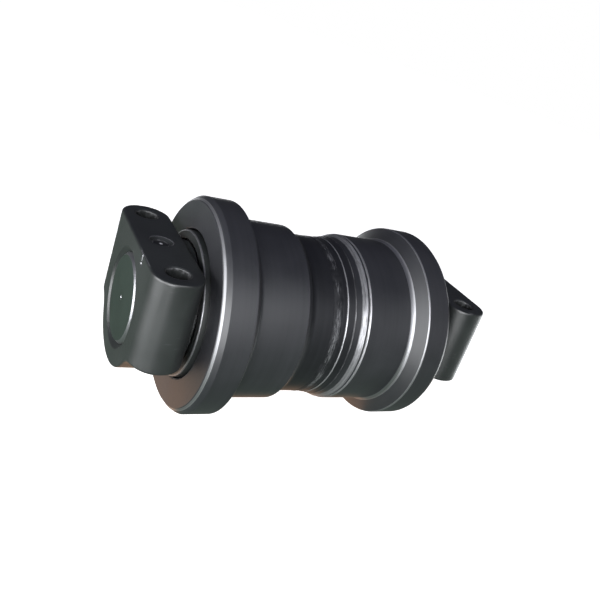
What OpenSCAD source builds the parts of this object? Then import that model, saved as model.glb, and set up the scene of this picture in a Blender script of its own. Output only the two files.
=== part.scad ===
// Bottom track roller of a crawler machine.
// The shell turns about the Y axis on a fixed shaft. The shaft is held by a collar at each end,
// and the collars' flat pads (facing +Z) bolt up under the track frame.
// Origin: on the shaft's axis, at the middle of the shell's width.

/* [Shell] */
// Diameter over the flanges
flange_d = 189; // [186:1:196]
// Thickness of a flange at its rim
flange_t = 28.5; // [26:0.5:31]
// Diameter of the treads that the track links run on
tread_d = 161; // [159:1:164]
// Diameter of the waist between the treads
waist_d = 148; // [145:1:150]
// Width of the shell over both flanges
shell_w = 230; // [228:1:236]
// Distance from the middle to the left tread's inner edge
shoulder_y = 33; // [28:0.5:36]
// Distance from the middle to the first step of the right half
step_y = 9.7; // [9:0.1:13]
// Depth of the recess in the shell's end that the seal flange runs in
recess_depth = 11; // [9:0.5:13]

/* [Shaft] */
// Diameter of the shaft
shaft_d = 76; // [74:1:78]
// Length over the collars' end faces
overall_w = 333; // [333:1:340]
// Chamfer on the shaft's ends
shaft_chamfer = 2.5; // [1:0.5:4]
// Diameter of the oil gallery along the shaft
gallery_d = 10; // [8:1:12]

/* [Collars] */
// Height of the mounting pads above the shaft's axis
pad_z = 54.5; // [52:0.5:56]
// Distance between a collar's two bolt holes
bolt_spacing_x = 114; // [110:1:120]
// Distance between the bolt holes of the two collars
bolt_spacing_y = 291; // [290:1:292]
// Diameter of the bolt holes, for M18 bolts
bolt_hole_d = 19.5; // [18.5:0.5:21]
// Radius of the round bosses around the bolt holes
boss_r = 21; // [19:0.5:23]
// Height of the bosses' lower ends, where the bolt heads sit
boss_foot_z = -23.5; // [-26:0.5:-20]
// Diameter of the spot face under each bolt head
spot_face_d = 34; // [32:1:36]
// Radius of the collar's barrel around the shaft
barrel_r = 57; // [55:0.5:59]
// Radius of the round seal flange
seal_flange_r = 63.3; // [62:0.1:64]

/* [Lock pins] */
// Diameter of a lock pin
pin_d = 14; // [12:1:16]
// Length of a lock pin
pin_length = 41; // [36:1:44]
// Depth of the pin's top below the pad
pin_sink = 2.5; // [1:0.5:4]

/* [Bushes and seals] */
// Radial wall of a bush
bush_wall = 5; // [4:0.5:6]
// Radial running clearance between bush and shaft
running_gap = 0.06; // [0.03:0.01:0.1]
// Length of a bush's pressed-in barrel
bush_length = 60; // [50:1:62]
// Thickness of a bush's thrust flange
bush_flange_t = 6; // [4:0.5:7]
// End gap between a bush's thrust face and the collar
end_gap = 0.4; // [0.3:0.1:0.8]
// Radius of a toric ring's round section
toric_r = 3.7; // [3:0.1:3.7]

/* [Hidden] */
$fn = 96;

// Radii and half lengths
flange_r = flange_d / 2;
tread_r = tread_d / 2;
waist_r = waist_d / 2;
shaft_r = shaft_d / 2;
half_shell = shell_w / 2;
half_overall = overall_w / 2;
half_shaft = half_overall - 0.5;
bolt_x = bolt_spacing_x / 2;
bolt_y = bolt_spacing_y / 2;
bolt_hole_r = bolt_hole_d / 2;
pin_r = pin_d / 2;
edge = 1;

// Shell: edges, shoulders and steps
rim_chamfer = 5.2;
rim_chamfer_depth = 2.6;
rim_lead = 2.2;
rim_lead_depth = 6;
rim_round = 1.6;
flange_slope = 31;
root_r = 4;
shoulder_slope = 40;
waist_fillet_r = 7;
weld_root_r = 62;
weld_half_w = 5;
weld_crown = 0.3;

// Shell: bores, from the end face inwards
recess_r = seal_flange_r + 1.7;
recess_floor = half_shell - recess_depth;
ramp_mouth_r = shaft_r + 20;
ramp_root_r = shaft_r + 17.5;
ramp_length = 12;
ramp_floor = 14;
bush_r = shaft_r + bush_wall;
bush_flange_r = bush_r + 8;
thrust_face = recess_floor - ramp_floor + 1;
bush_seat = thrust_face - bush_flange_t;
bush_inner_end = bush_seat - bush_length;
bush_end_relief = 1;
cavity_r = bush_r + 5;
cavity_lead = 4;

// Seals: the lapped faces meet in the middle of the gap between shell and collar
seal_gap = 1.5;
seal_plane = recess_floor + seal_gap / 2;
lapped_gap = 0.1;
ring_bore_r = shaft_r + 7.2;
ring_tail_r = shaft_r + 10.2;
ring_neck_r = shaft_r + 11.6;
ring_face_r = shaft_r + 16.2;
ring_tail = 11.2;
ring_neck = 4.2;
ring_face_t = 3.1;
toric_centre_r = shaft_r + 14.6;
toric_offset = 8.4;

// Collar
collar_inner_face = recess_floor + seal_gap;
seal_flange_face = 119.4;
neck_r = barrel_r - 3;
neck_end = 124.5;
nose_r = shaft_r + 5.6;
collar_bore_r = shaft_r + 0.02;
bore_chamfer = 4.3;
pad_inner_edge = bolt_y - boss_r;
hole_chamfer = 1.2;
pin_hole_chamfer = 3;
boss_fillet_r = 9;
mark_x = -31;
mark_length = 6;
mark_w = 1;
mark_depth = 0.5;
dot_drop = 8;
dot_r = 1.5;
pin_dot_r = 1.2;

// Shaft details
groove_y = 130;
groove_w = 5;
groove_depth = 3.2;
o_ring_r = 1.55;
pin_hole_floor = pad_z - pin_sink - pin_length;
cross_hole_d = 8;
centre_mark_r = 1.6;

// Oil plug
plug_seat_depth = 5.5;
plug_seat_r = 12;
plug_shank_r = 8;
plug_shank_length = 14;
plug_head_r = 11;
plug_head_t = 3.4;
plug_socket_af = 8;
plug_socket_depth = 5;
washer_t = 1.5;

// Points along an arc, from angle a0 to a1
function arc(centre, radius, a0, a1, steps = 6) =
    [for (i = [0 : steps])
        let (a = a0 + (a1 - a0) * i / steps)
        [centre[0] + radius * cos(a), centre[1] + radius * sin(a)]];

// Outline of revolution about the Y axis, given as points [radius, y]
module turned(points) {
    rotate([-90, 0, 0])
        rotate_extrude()
            polygon(points);
}

// Round bar along Y from y0 to y1
module bar_y(radius, y0, y1) {
    translate([0, y0, 0])
        rotate([-90, 0, 0])
            cylinder(r = radius, h = y1 - y0);
}

// Places a piece of the right end on the left end
module on_left() {
    mirror([0, 1, 0])
        children();
}

// Flange, from the tread out to the end face: the inner face is a cone with a rounded root
function flange_outline() =
    let (inner_rim = half_shell - flange_t,
         cone_top = [flange_r - rim_round, inner_rim],
         root_y = inner_rim - (cone_top[0] - tread_r) * tan(flange_slope))
    concat(
        [[tread_r, root_y - root_r * tan((90 - flange_slope) / 2)]],
        arc([tread_r + root_r, root_y - root_r * tan((90 - flange_slope) / 2)],
            root_r, 180, 90 + flange_slope, 5),
        [cone_top],
        arc([flange_r - rim_round, inner_rim + rim_round], rim_round, -90 + flange_slope, 0, 4),
        [
            [flange_r, half_shell - rim_lead_depth],
            [flange_r - rim_lead, half_shell - rim_chamfer_depth],
            [flange_r - rim_chamfer, half_shell]
        ]
    );

// Bores of one shell half, from the end face in to the middle
function bore_outline() = [
    [recess_r + edge, half_shell],
    [recess_r, half_shell - edge],
    [recess_r, recess_floor],
    [ramp_mouth_r, recess_floor],
    [ramp_root_r, recess_floor - ramp_length],
    [ramp_root_r, recess_floor - ramp_floor],
    [bush_flange_r, recess_floor - ramp_floor],
    [bush_flange_r, bush_seat],
    [bush_r, bush_seat],
    [bush_r, bush_inner_end - bush_end_relief],
    [cavity_r, bush_inner_end - cavity_lead],
    [cavity_r, 0]
];

// Plain shoulder from the left tread down to the waist, walked from the waist outwards
function plain_shoulder() =
    let (drop = tread_r - waist_r,
         turn = waist_fillet_r * tan(shoulder_slope / 2),
         foot_y = shoulder_y - drop / tan(shoulder_slope))
    concat(
        arc([waist_r + waist_fillet_r, foot_y - turn], waist_fillet_r, 180, 180 - shoulder_slope, 6),
        [[tread_r - 0.6, shoulder_y - 0.6 / tan(shoulder_slope)], [tread_r, shoulder_y + 1]]
    );

// Turned steps of the right half: two low steps, a broad bevel and a narrow groove
function stepped_shoulder() = [
    [waist_r, step_y - 1],
    [waist_r + 1, step_y],
    [waist_r + 1.6, step_y + 6.7],
    [waist_r + 2.3, step_y + 7.4],
    [waist_r + 2.8, step_y + 13],
    [tread_r - 0.8, step_y + 17.6],
    [tread_r - 0.8, step_y + 18.2],
    [tread_r - 1.5, step_y + 18.7],
    [tread_r - 1.5, step_y + 19.5],
    [tread_r, step_y + 20.9]
];

module shell_half(shoulder) {
    turned(concat(
        [[cavity_r, 0], [weld_root_r, 0], [waist_r, weld_half_w]],
        shoulder, flange_outline(), bore_outline()
    ));
}

module shell_left() {
    color([0.20, 0.20, 0.21])
        on_left()
            shell_half(plain_shoulder());
}

module shell_right() {
    color([0.20, 0.20, 0.21])
        shell_half(stepped_shoulder());
}

// Weld metal in the V between the two halves, with a very low crown
module shell_weld() {
    color([0.33, 0.33, 0.34])
        turned([
            [weld_root_r, 0],
            [waist_r, weld_half_w],
            [waist_r + weld_crown, weld_half_w - 2],
            [waist_r + weld_crown, 2 - weld_half_w],
            [waist_r, -weld_half_w]
        ]);
}

// Bronze bush with a thrust flange against the collar's nose
module bush() {
    bore_r = shaft_r + running_gap;
    color([0.72, 0.52, 0.25])
        turned([
            [bore_r + edge, bush_inner_end],
            [bush_r, bush_inner_end],
            [bush_r, bush_seat],
            [bush_flange_r, bush_seat],
            [bush_flange_r, thrust_face],
            [bore_r + edge, thrust_face],
            [bore_r, thrust_face - edge],
            [bore_r, bush_inner_end + edge]
        ]);
}

module bush_right() {
    bush();
}

module bush_left() {
    on_left()
        bush();
}

// Metal seal ring. way = -1 gives the ring in the shell, way = 1 the ring in the collar
module seal_ring(way) {
    face = seal_plane + way * lapped_gap / 2;
    color([0.62, 0.63, 0.65])
        turned([
            [ring_bore_r, face],
            [ring_face_r, face],
            [ring_face_r, face + way * ring_face_t],
            [ring_neck_r, face + way * ring_neck],
            [ring_tail_r, face + way * ring_tail],
            [ring_bore_r, face + way * ring_tail]
        ]);
}

// Rubber ring of round section behind a seal ring
module toric(way) {
    color([0.06, 0.06, 0.06])
        translate([0, seal_plane + way * toric_offset, 0])
            rotate([-90, 0, 0])
                rotate_extrude()
                    translate([toric_centre_r, 0])
                        circle(r = toric_r);
}

module shell_seal_ring_right() {
    seal_ring(-1);
}

module shell_seal_ring_left() {
    on_left()
        seal_ring(-1);
}

module collar_seal_ring_right() {
    seal_ring(1);
}

module collar_seal_ring_left() {
    on_left()
        seal_ring(1);
}

module shell_toric_right() {
    toric(-1);
}

module shell_toric_left() {
    on_left()
        toric(-1);
}

module collar_toric_right() {
    toric(1);
}

module collar_toric_left() {
    on_left()
        toric(1);
}

// Plan of the pad: a slot shape over both bolt holes
module pad_plan() {
    for (side = [-1, 1])
        translate([side * bolt_x, bolt_y])
            circle(r = boss_r);
    translate([-bolt_x, pad_inner_edge])
        square([2 * bolt_x, 2 * boss_r]);
}

// Fillet under a boss, between its foot and the barrel
module boss_fillet() {
    reach = barrel_r + boss_fillet_r;
    drop = boss_foot_z - boss_fillet_r;
    centre_x = sqrt(reach * reach - drop * drop);
    touch = barrel_r / reach;
    inner = sqrt(barrel_r * barrel_r - boss_foot_z * boss_foot_z) - 2;
    start = atan2(-drop, -centre_x);
    linear_extrude(height = 2 * boss_r)
        polygon(concat(
            [[inner - 4, boss_foot_z + 4], [inner - 4, drop * touch]],
            arc([centre_x, drop], boss_fillet_r, start, 90, 8),
            [[centre_x, boss_foot_z + 4]]
        ));
}

// Solid outside of the right collar
module collar_outside() {
    difference() {
        union() {
            bar_y(barrel_r, neck_end, half_overall);
            bar_y(neck_r, seal_flange_face, neck_end);
            translate([0, 0, boss_foot_z])
                linear_extrude(height = pad_z - boss_foot_z)
                    pad_plan();
            intersection() {
                translate([0, 0, boss_foot_z - 30])
                    linear_extrude(height = 40)
                        pad_plan();
                for (side = [0, 1])
                    mirror([side, 0, 0])
                        translate([0, half_overall, 0])
                            rotate([90, 0, 0])
                                boss_fillet();
            }
        }
        // The pad's plane cuts off the top of the barrel
        translate([-barrel_r, 0, pad_z])
            cube([2 * barrel_r, half_overall + 1, barrel_r]);
    }
    bar_y(seal_flange_r, collar_inner_face, seal_flange_face);
    bar_y(nose_r, thrust_face + end_gap, seal_flange_face);
}

// Short notch from the pad's edge down the end face, and a punch dot below it
module end_marks() {
    translate([mark_x - mark_w / 2, half_overall - mark_depth, pad_z - mark_length])
        cube([mark_w, 1, mark_length + 1]);
    translate([mark_x, half_overall - dot_r, pad_z - dot_drop])
        rotate([-90, 0, 0])
            cylinder(r1 = 0, r2 = 2 * dot_r, h = 2 * dot_r);
}

module collar() {
    color([0.18, 0.18, 0.19])
        difference() {
            collar_outside();
            // Bore for the shaft, with a chamfer at the outer end
            bar_y(collar_bore_r, 0, half_overall + 1);
            turned([
                [collar_bore_r - 1, half_overall - bore_chamfer - 1],
                [collar_bore_r + bore_chamfer + 1, half_overall + 1],
                [collar_bore_r - 1, half_overall + 1]
            ]);
            // Housing of the floating seal
            turned([
                [nose_r, collar_inner_face - 1],
                [ramp_mouth_r, collar_inner_face - 1],
                [ramp_mouth_r, collar_inner_face],
                [ramp_root_r, collar_inner_face + ramp_length],
                [ramp_root_r, collar_inner_face + ramp_floor],
                [nose_r, collar_inner_face + ramp_floor]
            ]);
            // Bolt holes with chamfered mouths, and the seats for the bolt heads
            for (side = [-1, 1])
                translate([side * bolt_x, bolt_y, 0]) {
                    translate([0, 0, boss_foot_z - 1])
                        cylinder(r = bolt_hole_r, h = pad_z - boss_foot_z + 2);
                    translate([0, 0, pad_z - hole_chamfer])
                        cylinder(r1 = bolt_hole_r, r2 = bolt_hole_r + 2 * hole_chamfer,
                                 h = 2 * hole_chamfer);
                    translate([0, 0, boss_foot_z - barrel_r])
                        cylinder(d = spot_face_d, h = barrel_r);
                }
            // Lock pin hole down to the bore
            translate([0, bolt_y, 0]) {
                cylinder(r = pin_r, h = pad_z + 1);
                translate([0, 0, pad_z - pin_hole_chamfer])
                    cylinder(r1 = pin_r, r2 = pin_r + 2 * pin_hole_chamfer, h = 2 * pin_hole_chamfer);
            }
            end_marks();
        }
}

module collar_right() {
    collar();
}

module collar_left() {
    rotate([0, 0, 180])
        collar();
}

// Pin with chamfered ends and a punch mark in its top
module lock_pin() {
    top = pad_z - pin_sink;
    color([0.30, 0.30, 0.31])
        translate([0, bolt_y, 0])
            difference() {
                rotate_extrude()
                    polygon([
                        [0, pin_hole_floor],
                        [pin_r - edge, pin_hole_floor],
                        [pin_r, pin_hole_floor + edge],
                        [pin_r, top - edge],
                        [pin_r - edge, top],
                        [0, top]
                    ]);
                translate([0, 0, top - pin_dot_r])
                    cylinder(r1 = 0, r2 = 2 * pin_dot_r, h = 2 * pin_dot_r);
            }
}

module lock_pin_right() {
    lock_pin();
}

module lock_pin_left() {
    on_left()
        lock_pin();
}

// O-ring between shaft and collar
module o_ring() {
    color([0.05, 0.05, 0.05])
        translate([0, groove_y, 0])
            rotate([-90, 0, 0])
                rotate_extrude()
                    translate([shaft_r - groove_depth / 2, 0])
                        circle(r = o_ring_r);
}

module o_ring_right() {
    o_ring();
}

module o_ring_left() {
    on_left()
        o_ring();
}

// Everything cut from both ends of the shaft
module shaft_end_cuts() {
    difference() {
        bar_y(shaft_r + 1, groove_y - groove_w / 2, groove_y + groove_w / 2);
        bar_y(shaft_r - groove_depth, groove_y - groove_w, groove_y + groove_w);
    }
    translate([0, bolt_y, pin_hole_floor])
        cylinder(r = pin_r, h = shaft_r);
}

module shaft() {
    color([0.22, 0.26, 0.24])
        difference() {
            turned([
                [0, -half_shaft],
                [shaft_r - shaft_chamfer, -half_shaft],
                [shaft_r, shaft_chamfer - half_shaft],
                [shaft_r, half_shaft - shaft_chamfer],
                [shaft_r - shaft_chamfer, half_shaft],
                [0, half_shaft]
            ]);
            shaft_end_cuts();
            on_left()
                shaft_end_cuts();
            // Centre mark on the left end
            translate([0, -half_shaft - 1, 0])
                rotate([-90, 0, 0])
                    cylinder(r1 = centre_mark_r + 1, r2 = 0, h = centre_mark_r + 1);
            // Oil gallery from the right end, its cross hole, and the seat of the plug
            bar_y(gallery_d / 2, 0, half_shaft + 1);
            translate([-shaft_r - 1, 0, 0])
                rotate([0, 90, 0])
                    cylinder(d = cross_hole_d, h = 2 * shaft_r + 2);
            bar_y(plug_shank_r, half_shaft - plug_seat_depth - plug_shank_length - 2, half_shaft + 1);
            bar_y(plug_seat_r, half_shaft - plug_seat_depth, half_shaft + 1);
        }
}

// Screw plug with a hexagon socket
module oil_plug() {
    seat = half_shaft - plug_seat_depth + washer_t;
    color([0.55, 0.55, 0.56])
        difference() {
            union() {
                bar_y(plug_shank_r, seat - washer_t - plug_shank_length, seat);
                turned([
                    [0, seat],
                    [plug_head_r, seat],
                    [plug_head_r, seat + plug_head_t - edge],
                    [plug_head_r - edge, seat + plug_head_t],
                    [0, seat + plug_head_t]
                ]);
            }
            translate([0, seat + plug_head_t - plug_socket_depth, 0])
                rotate([-90, 0, 0])
                    cylinder(d = plug_socket_af / cos(30), h = plug_socket_depth + 1, $fn = 6);
        }
}

// Copper washer under the plug's head
module plug_washer() {
    seat = half_shaft - plug_seat_depth;
    color([0.72, 0.42, 0.28])
        difference() {
            bar_y(plug_head_r + 0.6, seat, seat + washer_t);
            bar_y(plug_shank_r + 0.05, seat - 1, seat + washer_t + 1);
        }
}

shaft();
collar_left();
collar_right();
lock_pin_left();
lock_pin_right();
o_ring_left();
o_ring_right();
oil_plug();
plug_washer();
collar_seal_ring_left();
collar_seal_ring_right();
collar_toric_left();
collar_toric_right();
shell_left();
shell_right();
shell_weld();
bush_left();
bush_right();
shell_seal_ring_left();
shell_seal_ring_right();
shell_toric_left();
shell_toric_right();
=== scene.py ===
import math
from collections import namedtuple

import bpy
import numpy as np
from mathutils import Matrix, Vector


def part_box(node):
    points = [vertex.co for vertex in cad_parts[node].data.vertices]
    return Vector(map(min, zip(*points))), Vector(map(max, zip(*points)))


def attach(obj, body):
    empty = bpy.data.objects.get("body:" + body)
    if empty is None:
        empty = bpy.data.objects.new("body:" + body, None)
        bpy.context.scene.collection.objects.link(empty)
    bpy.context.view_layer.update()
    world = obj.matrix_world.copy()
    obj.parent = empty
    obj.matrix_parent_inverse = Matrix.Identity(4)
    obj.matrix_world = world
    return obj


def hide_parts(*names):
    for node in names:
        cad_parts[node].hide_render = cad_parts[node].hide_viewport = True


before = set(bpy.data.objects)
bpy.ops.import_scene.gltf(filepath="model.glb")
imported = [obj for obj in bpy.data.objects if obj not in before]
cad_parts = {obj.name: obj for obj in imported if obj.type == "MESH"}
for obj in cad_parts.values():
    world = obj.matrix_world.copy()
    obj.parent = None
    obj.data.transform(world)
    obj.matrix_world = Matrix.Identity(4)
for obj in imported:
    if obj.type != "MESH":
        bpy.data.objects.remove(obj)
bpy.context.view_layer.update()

import openvdb
from mathutils import Matrix, Vector

# Sizes are in millimetres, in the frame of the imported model: the shell turns about Y, the pads face +Z.
MM = 0.001
# How far the pins' tops lie under the pads
PIN_SUNK = 2.5


def high_corner(node):
    """Highest corner of a CAD node in millimetres."""
    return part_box(node)[1] / MM


# ---- Sizes read from the frame
FLANGE_R = high_corner("shell_right").z
HALF_SHELL = high_corner("shell_right").y
HALF_OVERALL = high_corner("collar_right").y
PIN_TOP = high_corner("lock_pin_right").z
PAD_Z = PIN_TOP + PIN_SUNK
SEAL_FLANGE_R = -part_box("collar_right")[0].z / MM
PIN_R = high_corner("lock_pin_right").x
BOLT_Y = high_corner("lock_pin_right").y - PIN_R
BUSH_FLANGE_R = high_corner("bush_right").z
SHAFT_R = high_corner("shaft").z

# ---- Shell sizes, as in the design
FLANGE_T = 28.5
TREAD_R = 80.5
WAIST_R = 74.0
SHOULDER_Y = 33.0
STEP_Y = 9.7
FLANGE_SLOPE = math.radians(31)
SHOULDER_SLOPE = math.radians(40)
ROOT_ROUND = 4.0
WAIST_ROUND = 7.0
RIM_ROUND = 1.2
RECESS_R = 65.0
RECESS_DEPTH = 11.0
WELD_ROOT_R = 62.0
WELD_HALF_W = 5.0
WELD_LIP = 0.6
WELD_CROWN = 0.3
CAVITY_R = 48.0
BUSH_R = 43.0
BUSH_SEAT = 85.0
BUSH_END = 25.0
RAMP_MOUTH_R = 58.0
RAMP_ROOT_R = 55.5
RAMP_LENGTH = 12.0
RAMP_FLOOR = 14.0

# ---- Flange's outer chamfer, corner by corner: distance from the rim, and distance from the end face
CHAMFER_FOOT = 6.0
CHAMFER_PAINTED = (2.2, 2.6)
CHAMFER_BARE = (3.0, 1.9)
CHAMFER_LIP = (4.4, 0.7)
CHAMFER_TOP = 5.2

# ---- Right shoulder: its steps and bevel foot above the waist, its bevel top and groove below the tread
LOW_STEP = 1.0
HIGH_STEP = 2.3
BEVEL_FOOT = 2.8
BEVEL_TOP = 0.8
GROOVE = 1.5

# ---- Turned meshes: faces round the axis, rows over the weld, and points in a rounded corner
TURNS = 240
WELD_TURNS = 480
WELD_ROWS = 14
ARC_STEPS = 4
# Width of the strip beside each rounded corner
GUARD = 0.7
# Most of a side that a rounded corner may take
SIDE_SHARE = 0.4
# Bend above which an edge is drawn sharp
SHARP_ANGLE = math.radians(32)

# ---- How bare the shell's paint is worn: the flange's sloping side against its rim, and the weld's middle
SLOPE_WEAR = 0.33
WELD_WEAR = 0.62
WELD_WORN_HALF_W = 3.6

# ---- Collar sizes, as in the design
BOLT_X = 57.0
BOSS_R = 21.0
BOSS_FOOT_Z = -23.5
BOLT_HOLE_R = 9.75
SPOT_FACE_R = 17.0
BARREL_R = 57.0
COLLAR_INNER_FACE = 105.5
SEAL_FLANGE_FACE = 119.4
NECK_R = 54.0
NOSE_R = 43.6
NOSE_FACE = 91.4
BORE_R = SHAFT_R + 0.05
BORE_CHAMFER = 4.3
HOLE_CHAMFER = 1.2
PIN_CHAMFER = 3.0
MARK_X = -31.0

# ---- Marks in the collar's end face, a little larger than in the design so that they show
NOTCH_HALF_W = 1.0
NOTCH_LENGTH = 6.0
NOTCH_DEPTH = 0.6
DOT_R = 1.8
DOT_DROP = 8.0

# ---- Roundings where the casting's shapes meet
BOSS_FILLET = 14.0
BLOCK_ROUND = 1.5
PAD_ROUND = 1.8
PLAN_ROUND = 2.4
NECK_FILLET = 1.5
RIM_FILLET = 1.6
NOSE_ROUND = 1.2
CUT_ROUND = 0.6
HOLE_ROUND = 0.25

# ---- Collar mesh: grid step, how deep distances are kept, room around it, and share of faces kept
GRID = 0.7
BAND = 2.5
MARGIN = 3.1 * GRID
KEPT_FACES = 0.3

# ---- How bare the collar's paint is worn: 0 is whole, 1 and more is bare
EDGE_WEAR = 0.8
EDGE_GAIN = 2.2
BORE_WEAR = 0.2
BOLT_WEAR = 0.85
RIM_WEAR = 1.0
MARK_WEAR = 1.4


# ---------------------------------------------------------------- turned pieces
Corner = namedtuple("Corner", "point round_r edge face")


def corner(radius, y, round_r, edge, face=0.0):
    """Corner of a turned outline, with its rounding, and how bare its edge and the face after it are."""
    return Corner(Vector((radius, y)), round_r, edge, face)


def rounded(corners):
    """Outline with its corners turned into arcs, as [radius, y, bareness]. Short strips beside each arc keep
    the faces between them flat to the light."""
    outline = []
    count = len(corners)
    for i, (point, round_r, edge, face) in enumerate(corners):
        before = corners[i - 1]
        after = corners[(i + 1) % count]
        if round_r == 0:
            outline.append((point.x, point.y, edge))
            continue
        back = before.point - point
        ahead = after.point - point
        turn = math.pi - back.angle(ahead)
        reach = min(round_r * math.tan(turn / 2), SIDE_SHARE * back.length, SIDE_SHARE * ahead.length)
        start = point + back.normalized() * reach
        end = point + ahead.normalized() * reach
        strip_in = min(GUARD, 0.5 * back.length - reach)
        strip_out = min(GUARD, 0.5 * ahead.length - reach)
        lead = start + back.normalized() * strip_in
        outline.append((lead.x, lead.y, before.face))
        for k in range(ARC_STEPS + 1):
            t = k / ARC_STEPS
            arc = start.lerp(point, t).lerp(point.lerp(end, t), t)
            outline.append((arc.x, arc.y, edge))
        tail = end + ahead.normalized() * strip_out
        outline.append((tail.x, tail.y, face))
    return outline


def new_piece(name, points, faces):
    """Mesh object in the scene, in metres."""
    mesh = bpy.data.meshes.new(name)
    mesh.from_pydata(points, [], faces)
    mesh.update()
    piece = bpy.data.objects.new(name, mesh)
    bpy.context.scene.collection.objects.link(piece)
    return piece


def store(piece, name, values):
    """Keeps one number per vertex for the materials."""
    layer = piece.data.attributes.new(name, "FLOAT", "POINT")
    layer.data.foreach_set("value", np.asarray(values, np.float32))


def lathe(name, outline, flip=False, turns=TURNS, shape=None):
    """Turns an outline of [radius, y, bareness] about Y. shape says how far each point's radius grows."""
    outline = np.array(outline)
    rows = len(outline)
    angle = np.arange(turns) * 2 * math.pi / turns
    radius = np.repeat(outline[:, 0][:, None], turns, 1)
    y = np.repeat(outline[:, 1][:, None], turns, 1)
    if shape:
        radius = radius + shape(radius, y, angle[None, :])
    if flip:
        y = -y
    points = np.stack([radius * np.cos(angle), y, radius * np.sin(angle)], 2).reshape(-1, 3) * MM
    i, j = np.meshgrid(np.arange(rows), np.arange(turns), indexing="ij")
    next_i = (i + 1) % rows
    next_j = (j + 1) % turns
    order = [i * turns + j, i * turns + next_j, next_i * turns + next_j, next_i * turns + j]
    if flip:
        order.reverse()
    faces = np.stack(order, 2).reshape(-1, 4)
    piece = new_piece(name, points.tolist(), faces.tolist())
    store(piece, "bare", np.repeat(outline[:, 2], turns))
    piece.data.shade_smooth()
    piece.data.set_sharp_from_angle(angle=SHARP_ANGLE)
    return piece


def chamfer_corner(step, round_r, edge, face=0.0):
    """Corner of the flange's outer chamfer. step is its distance from the rim and from the end face."""
    from_rim, from_face = step
    return corner(FLANGE_R - from_rim, HALF_SHELL - from_face, round_r, edge, face)


def flange_outline(rim_edge, face_edge):
    """Outer side of a flange, from its inner rim to its end face."""
    return [
        corner(FLANGE_R, HALF_SHELL - FLANGE_T, RIM_ROUND, rim_edge),
        chamfer_corner((0, CHAMFER_FOOT), 0.8, 0.1, 0.05),
        chamfer_corner(CHAMFER_PAINTED, 0.5, 0.2, 0.2),
        chamfer_corner(CHAMFER_BARE, 0.2, face_edge, face_edge),
        chamfer_corner(CHAMFER_LIP, 0, face_edge),
        chamfer_corner((CHAMFER_TOP, 0), 0.5, 0.3),
    ]


def bore_outline():
    """Inner side of a shell half: the recess and seal ramp, the bush's seat and the oil cavity."""
    recess_floor = HALF_SHELL - RECESS_DEPTH
    return [
        corner(RECESS_R + 1, HALF_SHELL, 0.3, 0.5, 0.6),
        corner(RECESS_R, HALF_SHELL - 1, 0.3, 0.5),
        corner(RECESS_R, recess_floor, 0.5, 0),
        corner(RAMP_MOUTH_R, recess_floor, 0.4, 0),
        corner(RAMP_ROOT_R, recess_floor - RAMP_LENGTH, 0, 0),
        corner(RAMP_ROOT_R, recess_floor - RAMP_FLOOR, 0, 0),
        corner(BUSH_FLANGE_R, recess_floor - RAMP_FLOOR, 0.3, 0),
        corner(BUSH_FLANGE_R, BUSH_SEAT, 0, 0),
        corner(BUSH_R, BUSH_SEAT, 0.3, 0),
        corner(BUSH_R, BUSH_END - 1, 0.2, 0),
        corner(CAVITY_R, BUSH_END - 4, 0.4, 0),
    ]


def shell_outline(shoulder, root_edge, rim_edge, face_edge):
    """Outline of one shell half from the middle to the end face and back through its bores. The edges say
    how bare the flange's root, its inner rim and its chamfer are."""
    root_y = HALF_SHELL - FLANGE_T - (FLANGE_R - TREAD_R) * math.tan(FLANGE_SLOPE)
    return [
        corner(CAVITY_R, 0, 0, 0),
        corner(WELD_ROOT_R, 0, 0, 0),
        corner(WAIST_R, WELD_HALF_W, 0.15, 0.2),
        *shoulder,
        corner(TREAD_R, root_y, ROOT_ROUND, root_edge, rim_edge * SLOPE_WEAR),
        *flange_outline(rim_edge, face_edge),
        *bore_outline(),
    ]


def plain_shoulder():
    """Left half: a crisp tread edge, a taper, and a soft fillet into the waist."""
    foot_y = SHOULDER_Y - (TREAD_R - WAIST_R) / math.tan(SHOULDER_SLOPE)
    return [
        corner(WAIST_R, foot_y, WAIST_ROUND, 0),
        corner(TREAD_R, SHOULDER_Y, 0.5, 0.1),
    ]


def stepped_shoulder():
    """Right half: two low steps, a broad bright bevel and a narrow groove."""
    return [
        corner(WAIST_R, STEP_Y - 1, 0.3, 0.1, 0.75),
        corner(WAIST_R + LOW_STEP, STEP_Y, 0.35, 0.72),
        corner(WAIST_R + LOW_STEP + 0.6, STEP_Y + 6.7, 0.3, 0.3, 0.5),
        corner(WAIST_R + HIGH_STEP, STEP_Y + 7.4, 0.35, 0.55),
        corner(WAIST_R + BEVEL_FOOT, STEP_Y + 13, 0.6, 0.4, 0.68),
        corner(TREAD_R - BEVEL_TOP, STEP_Y + 17.6, 0.4, 0.75, 0.4),
        corner(TREAD_R - BEVEL_TOP, STEP_Y + 18.2, 0.15, 0.3, 0.1),
        corner(TREAD_R - GROOVE, STEP_Y + 18.7, 0.15, 0.1, 0.1),
        corner(TREAD_R - GROOVE, STEP_Y + 19.5, 0.15, 0.1, 0.7),
        corner(TREAD_R, STEP_Y + 20.9, 0.4, 0.9),
    ]


def make_shells():
    """Left and right half: one has a bare chamfer, the other a bare rim and root, as the photo shows."""
    left = lathe("left_shell_half", rounded(shell_outline(plain_shoulder(), 0.1, 0.2, 1.0)), flip=True)
    right = lathe("right_shell_half", rounded(shell_outline(stepped_shoulder(), 0.95, 0.95, 0.4)))
    return left, right


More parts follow.
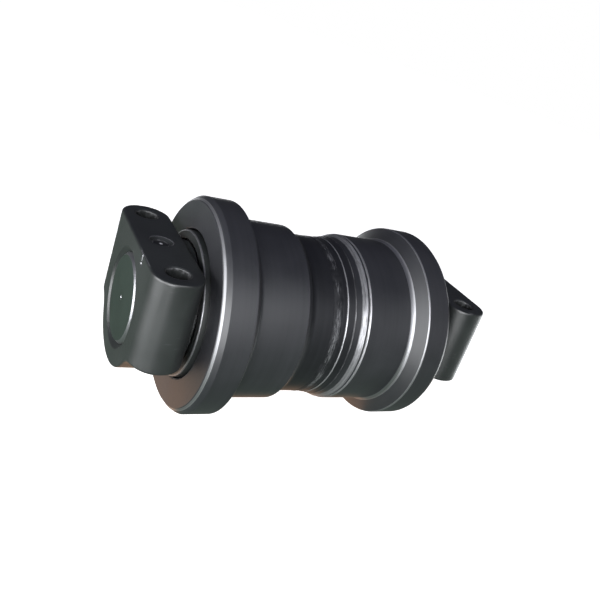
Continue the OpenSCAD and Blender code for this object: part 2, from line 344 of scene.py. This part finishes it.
def weld_ripple(radius, y, angle):
    """Low uneven ridges left on the turned weld, from three waves: waves a turn, slant and height."""
    on_crown = np.clip((radius - WAIST_R + 0.2) / 0.3, 0, 1)
    ripple = np.zeros_like(y * angle)
    for waves, slant, height in ((37, 0.9, 0.05), (83, -1.7, 0.04), (151, 2.9, 0.03)):
        ripple += height * np.sin(waves * angle + slant * y)
    return ripple * on_crown


def make_weld():
    """Weld as a ring with a low crown, barest in its middle."""
    edge_y = WELD_HALF_W - WELD_LIP
    outline = [(WELD_ROOT_R, 0.0, 0.0), (WAIST_R, WELD_HALF_W, 0.1)]
    for k in range(WELD_ROWS + 1):
        y = edge_y - 2 * edge_y * k / WELD_ROWS
        rise = WELD_CROWN * (1 - (y / edge_y) ** 2)
        bareness = WELD_WEAR * math.exp(-(y / WELD_WORN_HALF_W) ** 4)
        outline.append((WAIST_R + rise, y, bareness))
    outline.append((WAIST_R, -WELD_HALF_W, 0.1))
    return lathe("weld_bead", outline, turns=WELD_TURNS, shape=weld_ripple)


# ---------------------------------------------------------------- collars
def soft_max(a, b, k):
    """Largest of two distances, with the edge between them rounded over about k."""
    return np.maximum(a, b) + np.maximum(k - np.abs(a - b), 0) ** 2 / (4 * k)


def soft_min(a, b, k):
    """Smallest of two distances, rounded in the same way."""
    return -soft_max(-a, -b, k)


def slab(value, low, high):
    """Distance to the space between two faces, negative between them."""
    return np.maximum(low - value, value - high)


def drilled(body, radius, hole_r, chamfer, depth_below_face, low=-1e3):
    """Cuts a round hole with a chamfered mouth. low is the distance to its floor, negative above it."""
    hole = np.maximum(radius - hole_r, low)
    mouth = (radius - hole_r - chamfer + depth_below_face) * math.sqrt(0.5)
    return soft_max(soft_max(body, -hole, HOLE_ROUND), -mouth, HOLE_ROUND)


def casting(x_abs, y, z, radius):
    """Distance to the collar before it is machined: pad and bosses, neck, seal flange and nose."""
    plan = np.hypot(np.maximum(x_abs - BOLT_X, 0), y - BOLT_Y) - BOSS_R
    block = soft_max(x_abs - BOLT_X - BOSS_R, BOSS_FOOT_Z - z, BLOCK_ROUND)
    side = soft_min(radius - BARREL_R, block, BOSS_FILLET)
    side = soft_max(side, z - PAD_Z, PAD_ROUND)
    body = soft_max(plan, side, PLAN_ROUND)
    neck = np.maximum(radius - NECK_R, slab(y, SEAL_FLANGE_FACE - 3, BOLT_Y))
    body = soft_min(body, neck, NECK_FILLET)
    rim = soft_max(radius - SEAL_FLANGE_R, slab(y, COLLAR_INNER_FACE, SEAL_FLANGE_FACE), RIM_FILLET)
    body = soft_min(body, rim, NECK_FILLET)
    nose = soft_max(radius - NOSE_R, slab(y, NOSE_FACE, SEAL_FLANGE_FACE), NOSE_ROUND)
    return np.minimum(body, nose)


def seal_housing(y, radius):
    """Distance to the ring-shaped space for the seal, which narrows inwards."""
    ramp = RAMP_MOUTH_R - (y - COLLAR_INNER_FACE) * (RAMP_MOUTH_R - RAMP_ROOT_R) / RAMP_LENGTH
    ramp = np.clip(ramp, RAMP_ROOT_R, RAMP_MOUTH_R)
    return np.maximum(slab(radius, NOSE_R, ramp), y - COLLAR_INNER_FACE - RAMP_FLOOR)


def marked(body, x, y, z):
    """Cuts the notch at the pad's edge and the punch dot under it, both in the end face."""
    notch_floor = np.maximum(PAD_Z - NOTCH_LENGTH - z, HALF_OVERALL - NOTCH_DEPTH - y)
    notch = np.maximum(slab(x - MARK_X, -NOTCH_HALF_W, NOTCH_HALF_W), notch_floor)
    body = np.maximum(body, -notch)
    from_dot = np.sqrt((x - MARK_X) ** 2 + (y - HALF_OVERALL) ** 2 + (z - PAD_Z + DOT_DROP) ** 2)
    return np.maximum(body, DOT_R - from_dot)


def collar_distance(x, y, z):
    """Distance to the surface of the right collar, negative inside."""
    x_abs = np.abs(x)
    radius = np.hypot(x, z)
    from_bolt = np.hypot(x_abs - BOLT_X, y - BOLT_Y)
    from_pin = np.hypot(x, y - BOLT_Y)
    body = soft_max(casting(x_abs, y, z, radius), -seal_housing(y, radius), CUT_ROUND)
    body = drilled(body, radius, BORE_R, BORE_CHAMFER, HALF_OVERALL - y)
    body = drilled(body, from_bolt, BOLT_HOLE_R, HOLE_CHAMFER, PAD_Z - z)
    spot_face = np.maximum(from_bolt - SPOT_FACE_R, z - BOSS_FOOT_Z)
    body = soft_max(body, -spot_face, CUT_ROUND)
    body = drilled(body, from_pin, PIN_R, PIN_CHAMFER, PAD_Z - z, -z)
    return marked(body, x, y, z)


def collar_axes():
    """The three rows of grid points around the right collar."""
    half_w = BOLT_X + BOSS_R
    spans = ((-half_w, half_w), (NOSE_FACE, HALF_OVERALL), (-SEAL_FLANGE_R, SEAL_FLANGE_R))
    return [np.arange(low - MARGIN, high + MARGIN, GRID, dtype=np.float32) for low, high in spans]


def collar_skin():
    """Points and faces of the right collar's skin, in millimetres."""
    x, y, z = collar_axes()
    field = collar_distance(x[:, None, None], y[None, :, None], z[None, None, :])
    grid = openvdb.FloatGrid(BAND)
    grid.copyFromArray(np.clip(field, -BAND, BAND).astype(np.float32), tolerance=0.01)
    points, triangles, quads = grid.convertToPolygons(isovalue=0, adaptivity=0.0)
    points = points * GRID + np.array([x[0], y[0], z[0]])
    return points, quads.tolist() + triangles.tolist()


def thinned(points, faces):
    """Vertices in metres and triangles of a mesh with most of its faces merged."""
    raw = new_piece("raw_collar", (points * MM).tolist(), faces)
    thin = raw.modifiers.new("thin", "DECIMATE")
    thin.ratio = KEPT_FACES
    shrunk = raw.evaluated_get(bpy.context.evaluated_depsgraph_get()).to_mesh()
    at = np.empty(len(shrunk.vertices) * 3, np.float32)
    shrunk.vertices.foreach_get("co", at)
    shrunk.calc_loop_triangles()
    triangles = np.empty(len(shrunk.loop_triangles) * 3, np.int32)
    shrunk.loop_triangles.foreach_get("vertices", triangles)
    bpy.data.objects.remove(raw)
    return at.reshape(-1, 3), triangles.reshape(-1, 3)


def make_collars():
    """Right collar, and the same one turned half round Z as the left collar."""
    at, triangles = thinned(*collar_skin())
    spot = at.astype(float) / MM
    slope = surface_slope(spot)
    bare = edge_wear(spot, slope)
    machined = machined_share(spot, slope)
    pieces = []
    for name, way in (("right_collar", 1), ("left_collar", -1)):
        turn = np.array([way, way, 1])
        piece = new_piece(name, (at * turn).tolist(), triangles.tolist())
        store(piece, "bare", bare)
        store(piece, "machined", machined)
        piece.data.shade_smooth()
        piece.data.normals_split_custom_set_from_vertices((slope * turn).tolist())
        pieces.append(piece)
    return pieces


def surface_slope(spot, step=0.25):
    """Unit normals of the collar's surface, from how its distance changes."""
    slope = np.zeros_like(spot)
    for axis in range(3):
        shift = np.zeros(3)
        shift[axis] = step
        ahead = collar_distance(*(spot + shift).T)
        behind = collar_distance(*(spot - shift).T)
        slope[:, axis] = ahead - behind
    return slope / np.maximum(np.linalg.norm(slope, axis=1, keepdims=True), 1e-6)


def between(value, low, high):
    """True where a value lies between two others."""
    return (value > low) & (value < high)


def edge_wear(spot, slope, depth=1.6):
    """How bare each point is. A step inwards from an outer edge gains little depth, which is how the edges
    are found. The machined places that the photo shows bare, or painted, have their own wear."""
    inside = collar_distance(*(spot - slope * depth).T)
    worn = np.clip((inside + depth) / depth * EDGE_GAIN, 0, EDGE_WEAR)
    x, y, z = spot.T
    radius = np.hypot(x, z)
    from_bolt = np.hypot(np.abs(x) - BOLT_X, y - BOLT_Y) - BOLT_HOLE_R
    from_pin = np.hypot(x, y - BOLT_Y) - PIN_R
    in_end_face = between(y, HALF_OVERALL - 2, HALF_OVERALL - 0.15)
    rim = (radius > SEAL_FLANGE_R - 1.2) & between(y, SEAL_FLANGE_FACE - 1.4, SEAL_FLANGE_FACE + 0.4)
    bore = between(radius, BORE_R, BORE_R + BORE_CHAMFER) & (y > HALF_OVERALL - BORE_CHAMFER)
    bolt = (from_bolt < 0.5) & between(z, PAD_Z - 6, PAD_Z - 0.8)
    pin = (from_pin < 0.5) | between(from_pin, PIN_CHAMFER - 0.7, PIN_CHAMFER + 0.1)
    pin = pin & (z > PAD_Z - PIN_CHAMFER)
    mark = between(x, MARK_X - 1.9, MARK_X + 1.9) & (z > PAD_Z - 10) & in_end_face
    worn = np.where(bore, BORE_WEAR, worn)
    worn = np.where(bolt, BOLT_WEAR, worn)
    worn = np.where(rim | pin, RIM_WEAR, worn)
    return np.where(mark, MARK_WEAR, worn)


def machined_share(spot, slope):
    """1 on turned and milled faces, 0 on the cast skin."""
    x, y, z = spot.T
    flat = np.maximum(np.abs(slope[:, 1]), slope[:, 2] * (z > PAD_Z - 2))
    turned = (y < SEAL_FLANGE_FACE + 0.5) | (np.hypot(x, z) < BORE_R + BORE_CHAMFER + 0.5)
    return np.where(turned, 1.0, np.clip((flat - 0.9) * 12, 0, 1))


# ---------------------------------------------------------------- materials
# How much of the paint's gloss the waist and the weld lose
WAIST_DULLNESS = 0.52

# Specular level of the paint
PAINT_GLOSS = 0.9

# Darkest and lightest colour of each finish
SHELL_BLACK = ((0.009, 0.0095, 0.012, 1), (0.017, 0.0175, 0.021, 1))
SHELL_STEEL = ((0.25, 0.25, 0.26, 1), (0.42, 0.42, 0.435, 1))
WELD_BLACK = ((0.009, 0.0095, 0.012, 1), (0.019, 0.0195, 0.023, 1))
WELD_STEEL = ((0.2, 0.2, 0.21, 1), (0.5, 0.5, 0.52, 1))
COLLAR_BLACK = ((0.008, 0.0095, 0.0095, 1), (0.015, 0.0175, 0.017, 1))
COLLAR_STEEL = ((0.18, 0.18, 0.19, 1), (0.34, 0.34, 0.355, 1))
# Black paint of the shaft end, tinted green as a painted reflection of the greenish room below
SHAFT_BLACK_GREEN_REFLECTION = ((0.010, 0.016, 0.013, 1), (0.016, 0.025, 0.020, 1))
SHAFT_STEEL = ((0.26, 0.26, 0.27, 1), (0.44, 0.44, 0.46, 1))
PIN_BLACK = ((0.009, 0.0095, 0.010, 1), (0.018, 0.019, 0.020, 1))
# Light, mostly unmetallic colour of the pins' punch mark and rubbed edge: wear with a painted glint
PIN_WEAR_AND_GLINT = ((0.6, 0.6, 0.62, 1), (0.85, 0.85, 0.87, 1))
SEAL_IRON = ((0.3, 0.3, 0.31, 1), (0.5, 0.5, 0.52, 1))
BRONZE = ((0.42, 0.26, 0.1, 1), (0.66, 0.45, 0.2, 1))
COPPER = ((0.5, 0.22, 0.12, 1), (0.78, 0.42, 0.27, 1))
ZINC = ((0.18, 0.18, 0.185, 1), (0.34, 0.34, 0.345, 1))
RUBBER = ((0.012, 0.012, 0.012, 1), (0.026, 0.026, 0.027, 1))

# Sizes of the punch marks and rubbed edges on the shaft's end and the pins, in metres. On the pins both
# carry a painted glint
CENTRE_MARK = (0.0022, 0.0014)
PUNCH_MARK = (0.0017, 0.0012)
SHAFT_EDGE = (SHAFT_R * MM - 0.0028, SHAFT_R * MM - 0.0022)
PIN_EDGE = (PIN_R * MM - 0.0011, PIN_R * MM - 0.0007)


class Shade:
    """A material's node tree, built call by call."""

    def __init__(self, name):
        self.material = bpy.data.materials.new(name)
        self.material.use_nodes = True
        self.tree = self.material.node_tree
        self.bsdf = self.tree.nodes["Principled BSDF"]
        self.place = self.node("ShaderNodeTexCoord").outputs["Object"]

    def node(self, kind, **inputs):
        """New node with its properties set and its sockets fed."""
        made = self.tree.nodes.new(kind)
        for key, value in inputs.items():
            self.feed(made, key, value)
        return made

    def feed(self, node, key, value):
        """Sets a property of a node, or feeds one of its sockets. i0, i1 name sockets by number."""
        if hasattr(node, key):
            setattr(node, key, value)
        elif key[0] == "i" and key[1:].isdigit():
            self.plug(node.inputs[int(key[1:])], value)
        else:
            self.plug(node.inputs[key], value)

    def plug(self, socket, value):
        """Links a socket to another one, or sets its value."""
        if isinstance(value, bpy.types.NodeSocket):
            self.tree.links.new(value, socket)
        else:
            socket.default_value = value

    def stretched(self, x, y, z):
        """Place on the piece, scaled along each axis."""
        made = self.node("ShaderNodeMapping", Vector=self.place)
        made.inputs["Scale"].default_value = (x, y, z)
        return made.outputs["Vector"]

    def coordinates(self):
        """Place on the piece as x, y and z, in metres."""
        return self.node("ShaderNodeSeparateXYZ", Vector=self.place).outputs

    def length(self, a, b):
        """Length of the vector (a, b)."""
        return self.math("SQRT", self.math("ADD", self.math("MULTIPLY", a, a), self.math("MULTIPLY", b, b)))

    def axis_radius(self):
        """Distance from the Y axis, in metres."""
        x, _, z = self.coordinates()
        return self.length(x, z)

    def noise(self, vector, scale=1.0, detail=3.0, roughness=0.55):
        """Noise from 0 to 1."""
        return self.node("ShaderNodeTexNoise", Vector=vector, Scale=scale, Detail=detail,
                         Roughness=roughness).outputs["Fac"]

    def math(self, operation, a, b=0.0):
        """Result of one operation on one or two numbers."""
        return self.node("ShaderNodeMath", operation=operation, i0=a, i1=b).outputs[0]

    def plus(self, value, other, share):
        """Value with a share of another one added."""
        return self.math("ADD", value, self.math("MULTIPLY", other, share))

    def varied(self, value, noise, amount):
        """Value moved up and down by a noise around 0.5."""
        return self.plus(value, self.math("SUBTRACT", noise, 0.5), amount)

    def ramp(self, value, low, high, to_low=0.0, to_high=1.0):
        """Smooth step from to_low, where the value is low, to to_high, where it is high."""
        made = self.node("ShaderNodeMapRange", interpolation_type="SMOOTHSTEP", Value=value)
        for key, number in (("From Min", low), ("From Max", high), ("To Min", to_low), ("To Max", to_high)):
            made.inputs[key].default_value = number
        return made.outputs["Result"]

    def blend(self, factor, a, b):
        """Colour between a and b."""
        return self.node("ShaderNodeMix", data_type="RGBA", i0=factor, i6=a, i7=b).outputs[2]

    def choose(self, factor, a, b):
        """Number between a and b."""
        return self.node("ShaderNodeMix", data_type="FLOAT", i0=factor, i2=a, i3=b).outputs[0]

    def attribute(self, name):
        """Number stored for each vertex."""
        return self.node("ShaderNodeAttribute", attribute_name=name).outputs["Fac"]

    def bump(self, height, strength, distance, normal=None):
        """Normal tilted by a fine relief, on top of another one if given. distance is in metres."""
        made = self.node("ShaderNodeBump", Height=height, Strength=strength, Distance=distance)
        if normal is not None:
            self.plug(made.inputs["Normal"], normal)
        return made.outputs["Normal"]

    def finish(self, **sockets):
        """Feeds the shader's sockets. An underscore stands for a space in their names."""
        for key, value in sockets.items():
            self.plug(self.bsdf.inputs[key.replace("_", " ")], value)
        return self.material


def shell_paint():
    """Satin black paint over turned steel, rubbed bright on its edges, with fine rings along Y. A metallic
    share without a bright colour takes the gloss off the paint in the waist."""
    s = Shade("shell_paint_finish")
    rings = s.noise(s.stretched(9, 1500, 9), detail=2)
    coarse_rings = s.noise(s.stretched(5, 320, 5), detail=3)
    cloud = s.noise(s.place, scale=14, detail=5)
    grain = s.noise(s.place, scale=900, detail=4)
    chips = s.noise(s.stretched(60, 420, 60), detail=6, roughness=0.7)
    worn = s.ramp(s.varied(s.attribute("bare"), chips, 0.7), 0.48, 0.82)
    tone = s.plus(s.math("MULTIPLY", cloud, 0.6), coarse_rings, 0.4)
    paint = s.blend(s.ramp(tone, 0.35, 0.65), *SHELL_BLACK)
    steel = s.blend(s.ramp(rings, 0.3, 0.7), *SHELL_STEEL)
    rough = s.ramp(s.plus(cloud, grain, 0.4), 0.4, 1.0, 0.4, 0.52)
    low = s.ramp(s.axis_radius(), (WAIST_R + 3.5) * MM, (WAIST_R + 1.5) * MM, 0.0, WAIST_DULLNESS)
    from_middle = s.math("ABSOLUTE", s.coordinates()[1])
    waist = s.math("MULTIPLY", low, s.ramp(from_middle, SHOULDER_Y * MM, (SHOULDER_Y - 3) * MM))
    normal = s.bump(rings, 0.16, 0.00008)
    normal = s.bump(grain, 0.12, 0.0001, normal)
    return s.finish(Base_Color=s.blend(worn, paint, steel), Metallic=s.math("MAXIMUM", worn, waist),
                    Roughness=rough, Normal=normal, Specular_IOR_Level=PAINT_GLOSS)


def weld_paint():
    """Dull paint over the weld, scuffed through to streaks of steel around the crown."""
    s = Shade("weld_finish")
    streaks = s.noise(s.stretched(110, 900, 110), detail=8, roughness=0.75)
    patches = s.noise(s.stretched(26, 60, 26), detail=3)
    beads = s.noise(s.stretched(260, 90, 260), detail=4)
    most_worn = 0.85
    worn = s.varied(s.varied(s.attribute("bare"), streaks, 2.3), patches, 1.3)
    worn = s.ramp(worn, 0.5, 1.0, 0.0, most_worn)
    metallic = s.ramp(worn, 0.0, most_worn, WAIST_DULLNESS, 1.0)
    paint = s.blend(s.ramp(beads, 0.35, 0.65), *WELD_BLACK)
    steel = s.blend(streaks, *WELD_STEEL)
    rough = s.ramp(beads, 0.3, 0.7, 0.5, 0.62)
    normal = s.bump(beads, 0.3, 0.0002)
    return s.finish(Base_Color=s.blend(worn, paint, steel), Metallic=metallic, Roughness=rough,
                    Normal=normal, Specular_IOR_Level=PAINT_GLOSS)


def collar_paint():
    """Satin black paint over a casting: cast grain on the skin, milling marks on the machined faces, fine
    grain round the bosses, and a few scratches."""
    s = Shade("collar_paint_finish")
    cloud = s.noise(s.place, scale=18, detail=5)
    cast = s.noise(s.place, scale=380, detail=6, roughness=0.6)
    pits = s.noise(s.place, scale=1100, detail=3)
    mill = s.noise(s.stretched(1200, 40, 20), detail=2)
    brushing = s.noise(s.stretched(40, 40, 1500), detail=3)
    chips = s.noise(s.place, scale=260, detail=6, roughness=0.7)
    scratches = s.ramp(s.noise(s.stretched(45, 45, 700), detail=2), 0.71, 0.77, 0.0, 0.3)
    worn = s.ramp(s.varied(s.attribute("bare"), chips, 0.8), 0.75, 1.1)
    worn = s.math("MAXIMUM", worn, scratches)
    paint = s.blend(s.ramp(cloud, 0.35, 0.68), *COLLAR_BLACK)
    steel = s.blend(chips, *COLLAR_STEEL)
    rough = s.ramp(s.plus(cloud, cast, 0.4), 0.4, 1.0, 0.36, 0.48)
    normal = s.bump(s.choose(s.attribute("machined"), cast, mill), 0.22, 0.00012)
    normal = s.bump(pits, 0.1, 0.00008, normal)
    normal = s.bump(brushing, 0.25, 0.0001, normal)
    return s.finish(Base_Color=s.blend(worn, paint, steel), Metallic=worn, Roughness=rough, Normal=normal,
                    Specular_IOR_Level=PAINT_GLOSS)


def painted_face():
    """Paint over the turned shaft end, its black tinted green as a painted reflection of the greenish room
    below, with faint rings around the axis, a rubbed edge and a centre mark.
    """
    s = Shade("shaft_paint_and_reflection_finish")
    radius = s.axis_radius()
    spread = s.node("ShaderNodeCombineXYZ", X=s.math("MULTIPLY", radius, 900)).outputs[0]
    rings = s.noise(spread, detail=2)
    cloud = s.noise(s.place, scale=22, detail=5)
    grain = s.noise(s.place, scale=800, detail=4)
    chips = s.noise(s.place, scale=90, detail=4)
    rubbed = s.ramp(s.math("MULTIPLY", s.ramp(radius, *SHAFT_EDGE), chips), 0.15, 0.4)
    worn = s.math("MAXIMUM", rubbed, s.ramp(radius, *CENTRE_MARK))
    # The paint's green tint is a painted reflection
    paint = s.blend(s.ramp(cloud, 0.35, 0.65), *SHAFT_BLACK_GREEN_REFLECTION)
    steel = s.blend(rings, *SHAFT_STEEL)
    rough = s.ramp(s.plus(cloud, rings, 0.3), 0.4, 0.95, 0.34, 0.46)
    normal = s.bump(rings, 0.14, 0.00006)
    normal = s.bump(grain, 0.1, 0.00008, normal)
    return s.finish(Base_Color=s.blend(worn, paint, steel), Metallic=worn, Roughness=rough, Normal=normal)


def pin_paint_and_glint():
    """Painted pin, with the punch mark in its top and its edge rubbed bare. Both take a light, mostly
    unmetallic colour that is a painted glint.
    """
    s = Shade("pin_paint_and_glint_finish")
    x, y, z = s.coordinates()
    radius = s.length(x, s.math("SUBTRACT", s.math("ABSOLUTE", y), BOLT_Y * MM))
    near_top = s.ramp(z, (PIN_TOP - 1.1) * MM, (PIN_TOP - 0.8) * MM)
    edge = s.math("MULTIPLY", s.ramp(radius, *PIN_EDGE), near_top)
    cloud = s.noise(s.place, scale=160, detail=5)
    rubbed = s.math("MULTIPLY", edge, s.ramp(cloud, 0.35, 0.6))
    # Punch mark and rubbed edge, both given the painted glint
    worn = s.math("MAXIMUM", s.ramp(radius, *PUNCH_MARK), rubbed)
    paint = s.blend(s.ramp(cloud, 0.35, 0.65), *PIN_BLACK)
    # Light colour of the punch mark and rubbed edge, a painted glint; the low metallic share keeps it bright
    # without a lamp in its reflection
    steel = s.blend(cloud, *PIN_WEAR_AND_GLINT)
    return s.finish(Base_Color=s.blend(worn, paint, steel), Metallic=s.math("MULTIPLY", worn, 0.35),
                    Roughness=s.ramp(cloud, 0.3, 0.7, 0.4, 0.55), Normal=s.bump(cloud, 0.15, 0.0001))


def metal(name, colours, scale, rough_low, rough_high):
    """Bare metal with tool marks and stains."""
    s = Shade(name)
    lines = s.noise(s.stretched(scale * 0.02, scale, scale * 0.02), detail=3)
    cloud = s.noise(s.place, scale=30, detail=5)
    tone = s.plus(s.math("MULTIPLY", lines, 0.5), cloud, 0.5)
    return s.finish(Base_Color=s.blend(s.ramp(tone, 0.35, 0.65), *colours), Metallic=1.0,
                    Roughness=s.ramp(cloud, 0.3, 0.7, rough_low, rough_high),
                    Normal=s.bump(lines, 0.15, 0.00006))


def rubber():
    """Dull black rubber with a fine grain."""
    s = Shade("rubber_finish")
    grain = s.noise(s.place, scale=700, detail=5)
    cloud = s.noise(s.place, scale=40, detail=4)
    return s.finish(Base_Color=s.blend(s.ramp(cloud, 0.35, 0.65), *RUBBER),
                    Roughness=s.ramp(grain, 0.3, 0.7, 0.55, 0.75), Normal=s.bump(grain, 0.3, 0.0001))


# ---------------------------------------------------------------- stage
# ---- Camera, fitted to the photo's outlines. Its distances are in the flange radius it was fitted with
CAMERA_AZIMUTH = math.radians(55.25)
CAMERA_ELEVATION = math.radians(18.33)
CAMERA_ROLL = math.radians(20.38)
CAMERA_DISTANCE = 6.473
CAMERA_ASIDE = 0.4443
CAMERA_ABOVE = 0.5327
CAMERA_LENS = 37.88
CAMERA_SHIFT = 1 / 15
CAMERA_UNIT = 94.0 * MM

# ---- Area lights: name, azimuth, elevation, width and height in metres, watts, colour
LIGHT_DISTANCE = 1.5
LIGHTS = (
    ("key", 8, 2, (1.2, 1.1), 27, (0.97, 0.98, 1.0)),
    ("side", 56, 10, (1.0, 1.0), 29, (0.97, 0.98, 1.0)),
    ("fill", 98, 28, (0.8, 1.0), 7, (0.95, 0.97, 1.0)),
    ("rear", 185, -13, (1.2, 0.65), 9, (0.96, 0.98, 1.0)),
    ("rear_side", 258, -13, (1.0, 0.65), 9, (0.96, 0.98, 1.0)),
)

# ---- Room that the reflections see: height from straight down (0) to straight up (1), and colour
ROOM_COLOURS = (
    (0.3, (0.17, 0.22, 0.185, 1)),
    (0.5, (0.14, 0.145, 0.155, 1)),
    (0.64, (0.032, 0.033, 0.04, 1)),
    (0.8, (0.10, 0.103, 0.14, 1)),
)
WHITE = (1, 1, 1, 1)
BLACK = (0, 0, 0, 1)

# ---- Floor, and the card above it that only reflections see, in metres
FLOOR_LEVEL = -FLANGE_R * MM
FLOOR_HALF = 30.0
FLOOR_TONES = ((0.86, 0.86, 0.86, 1), (0.9, 0.9, 0.9, 1))
FLOOR_GLOW = 0.96
CARD_PLACE = (-0.16, 0.06, FLOOR_LEVEL + 0.0004)
CARD_HALF = (0.20, 0.225)
CARD_COLOUR = (0.82, 0.52, 0.34, 1)
CARD_GLOW = 1.1


def add_camera():
    """Camera at the photo's view of the roller. Its distances are in CAMERA_UNIT."""
    back = direction(CAMERA_AZIMUTH, CAMERA_ELEVATION)
    level = Vector((math.cos(CAMERA_AZIMUTH), math.sin(CAMERA_AZIMUTH), 0))
    upright = back.cross(level)
    right = level * math.cos(CAMERA_ROLL) + upright * math.sin(CAMERA_ROLL)
    up = upright * math.cos(CAMERA_ROLL) - level * math.sin(CAMERA_ROLL)
    place = back * CAMERA_DISTANCE + right * CAMERA_ASIDE + up * CAMERA_ABOVE
    data = bpy.data.cameras.new("camera")
    data.lens = CAMERA_LENS
    data.shift_x = -CAMERA_SHIFT
    data.shift_y = -CAMERA_SHIFT
    camera = bpy.data.objects.new("camera", data)
    turn = Matrix((right, up, back)).transposed().to_4x4()
    camera.matrix_world = Matrix.Translation(place * CAMERA_UNIT) @ turn
    bpy.context.scene.collection.objects.link(camera)
    bpy.context.scene.camera = camera


def direction(azimuth, elevation):
    """Unit vector towards an azimuth (0 is -Y, 90 degrees is +X) and an elevation."""
    flat = math.cos(elevation)
    return Vector((math.sin(azimuth) * flat, -math.cos(azimuth) * flat, math.sin(elevation)))


def add_light(name, azimuth, elevation, size, power, colour):
    """Rectangular light that points at the origin."""
    data = bpy.data.lights.new(name, "AREA")
    data.shape = "RECTANGLE"
    data.size, data.size_y = size
    data.energy = power
    data.color = colour
    lamp = bpy.data.objects.new(name, data)
    away = direction(math.radians(azimuth), math.radians(elevation))
    lamp.location = away * LIGHT_DISTANCE
    lamp.rotation_mode = "QUATERNION"
    lamp.rotation_quaternion = away.to_track_quat("Z", "Y")
    lamp.visible_camera = False
    bpy.context.scene.collection.objects.link(lamp)


def room_shader(tree):
    """Background that changes colour with height."""
    room = tree.nodes["Background"]
    place = tree.nodes.new("ShaderNodeTexCoord")
    split = tree.nodes.new("ShaderNodeSeparateXYZ")
    height = tree.nodes.new("ShaderNodeMapRange")
    ramp = tree.nodes.new("ShaderNodeValToRGB")
    height.inputs["From Min"].default_value = -1
    room.inputs["Strength"].default_value = 1.0
    tree.links.new(place.outputs["Generated"], split.inputs[0])
    tree.links.new(split.outputs["Z"], height.inputs["Value"])
    tree.links.new(height.outputs["Result"], ramp.inputs["Fac"])
    tree.links.new(ramp.outputs["Color"], room.inputs["Color"])
    stops = ramp.color_ramp.elements
    for stop, (position, colour) in zip(stops, (ROOM_COLOURS[0], ROOM_COLOURS[-1])):
        stop.position = position
        stop.color = colour
    for position, colour in ROOM_COLOURS[1:-1]:
        stops.new(position).color = colour
    return room.outputs[0]


def add_world():
    """Plain white behind everything, and a dim room for the reflections."""
    world = bpy.data.worlds.new("studio")
    bpy.context.scene.world = world
    world.use_nodes = True
    tree = world.node_tree
    white = tree.nodes.new("ShaderNodeBackground")
    white.inputs["Strength"].default_value = 1.0
    white.inputs["Color"].default_value = WHITE
    rays = tree.nodes.new("ShaderNodeLightPath")
    mix = tree.nodes.new("ShaderNodeMixShader")
    tree.links.new(rays.outputs["Is Camera Ray"], mix.inputs[0])
    tree.links.new(room_shader(tree), mix.inputs[1])
    tree.links.new(white.outputs[0], mix.inputs[2])
    tree.links.new(mix.outputs[0], tree.nodes["World Output"].inputs["Surface"])


def level_sheet(name, centre, half_x, half_y):
    """Level rectangle around a point."""
    x, y, level = centre
    corners = [(x - half_x, y - half_y, level), (x + half_x, y - half_y, level),
               (x + half_x, y + half_y, level), (x - half_x, y + half_y, level)]
    return new_piece(name, corners, [[0, 1, 2, 3]])


def add_floor():
    """Pale floor that only the camera sees. It casts no shadow, as some lights stand lower."""
    floor = level_sheet("floor", (0, 0, FLOOR_LEVEL), FLOOR_HALF, FLOOR_HALF)
    s = Shade("floor_finish")
    mottle = s.noise(s.place, scale=3, detail=4)
    s.finish(Base_Color=s.blend(mottle, *FLOOR_TONES), Roughness=0.9, Emission_Color=WHITE,
             Emission_Strength=FLOOR_GLOW)
    floor.data.materials.append(s.material)
    floor.visible_glossy = False
    floor.visible_diffuse = False
    floor.visible_shadow = False


def add_warm_card():
    """Card that only reflections see. It gives the low edges of the flanges their brown tint."""
    card = level_sheet("warm_card", CARD_PLACE, *CARD_HALF)
    s = Shade("warm_card_finish")
    s.finish(Base_Color=BLACK, Emission_Color=CARD_COLOUR, Emission_Strength=CARD_GLOW)
    card.data.materials.append(s.material)
    card.visible_camera = False
    card.visible_diffuse = False
    card.visible_shadow = False


def build_stage():
    """Camera, room, floor and lights."""
    add_camera()
    add_world()
    add_floor()
    for light in LIGHTS:
        add_light(*light)
    add_warm_card()
    bpy.context.scene.view_settings.view_transform = "Standard"


# ---------------------------------------------------------------- assembly
def dress(piece, material):
    """Gives a piece one material."""
    piece.data.materials.clear()
    piece.data.materials.append(material)


def replace(piece, body, node, material):
    """Puts a piece in the place of a CAD node, on its body."""
    dress(piece, material)
    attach(piece, body)
    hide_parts(node)


def dress_node(node, material):
    """Gives a CAD node its material."""
    dress(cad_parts[node], material)


def build_outside():
    """The five pieces that replace their CAD nodes."""
    shell = shell_paint()
    weld = weld_paint()
    collar = collar_paint()
    left, right = make_shells()
    replace(left, "roller", "shell_left", shell)
    replace(right, "roller", "shell_right", shell)
    replace(make_weld(), "roller", "shell_weld", weld)
    right_collar, left_collar = make_collars()
    replace(right_collar, "mounting", "collar_right", collar)
    replace(left_collar, "mounting", "collar_left", collar)


def dress_cad_nodes():
    """Materials of the pieces that stay as the CAD made them."""
    iron = metal("seal_iron_finish", SEAL_IRON, 900, 0.22, 0.4)
    bronze = metal("bronze_finish", BRONZE, 900, 0.25, 0.42)
    black = rubber()
    pin = pin_paint_and_glint()
    dress_node("shaft", painted_face())
    dress_node("oil_plug", metal("plug_finish", ZINC, 700, 0.34, 0.5))
    dress_node("plug_washer", metal("copper_finish", COPPER, 700, 0.25, 0.4))
    for side in ("left", "right"):
        dress_node("lock_pin_" + side, pin)
        dress_node("o_ring_" + side, black)
        dress_node("bush_" + side, bronze)
        for owner in ("collar", "shell"):
            dress_node(owner + "_seal_ring_" + side, iron)
            dress_node(owner + "_toric_" + side, black)


build_stage()
build_outside()
dress_cad_nodes()
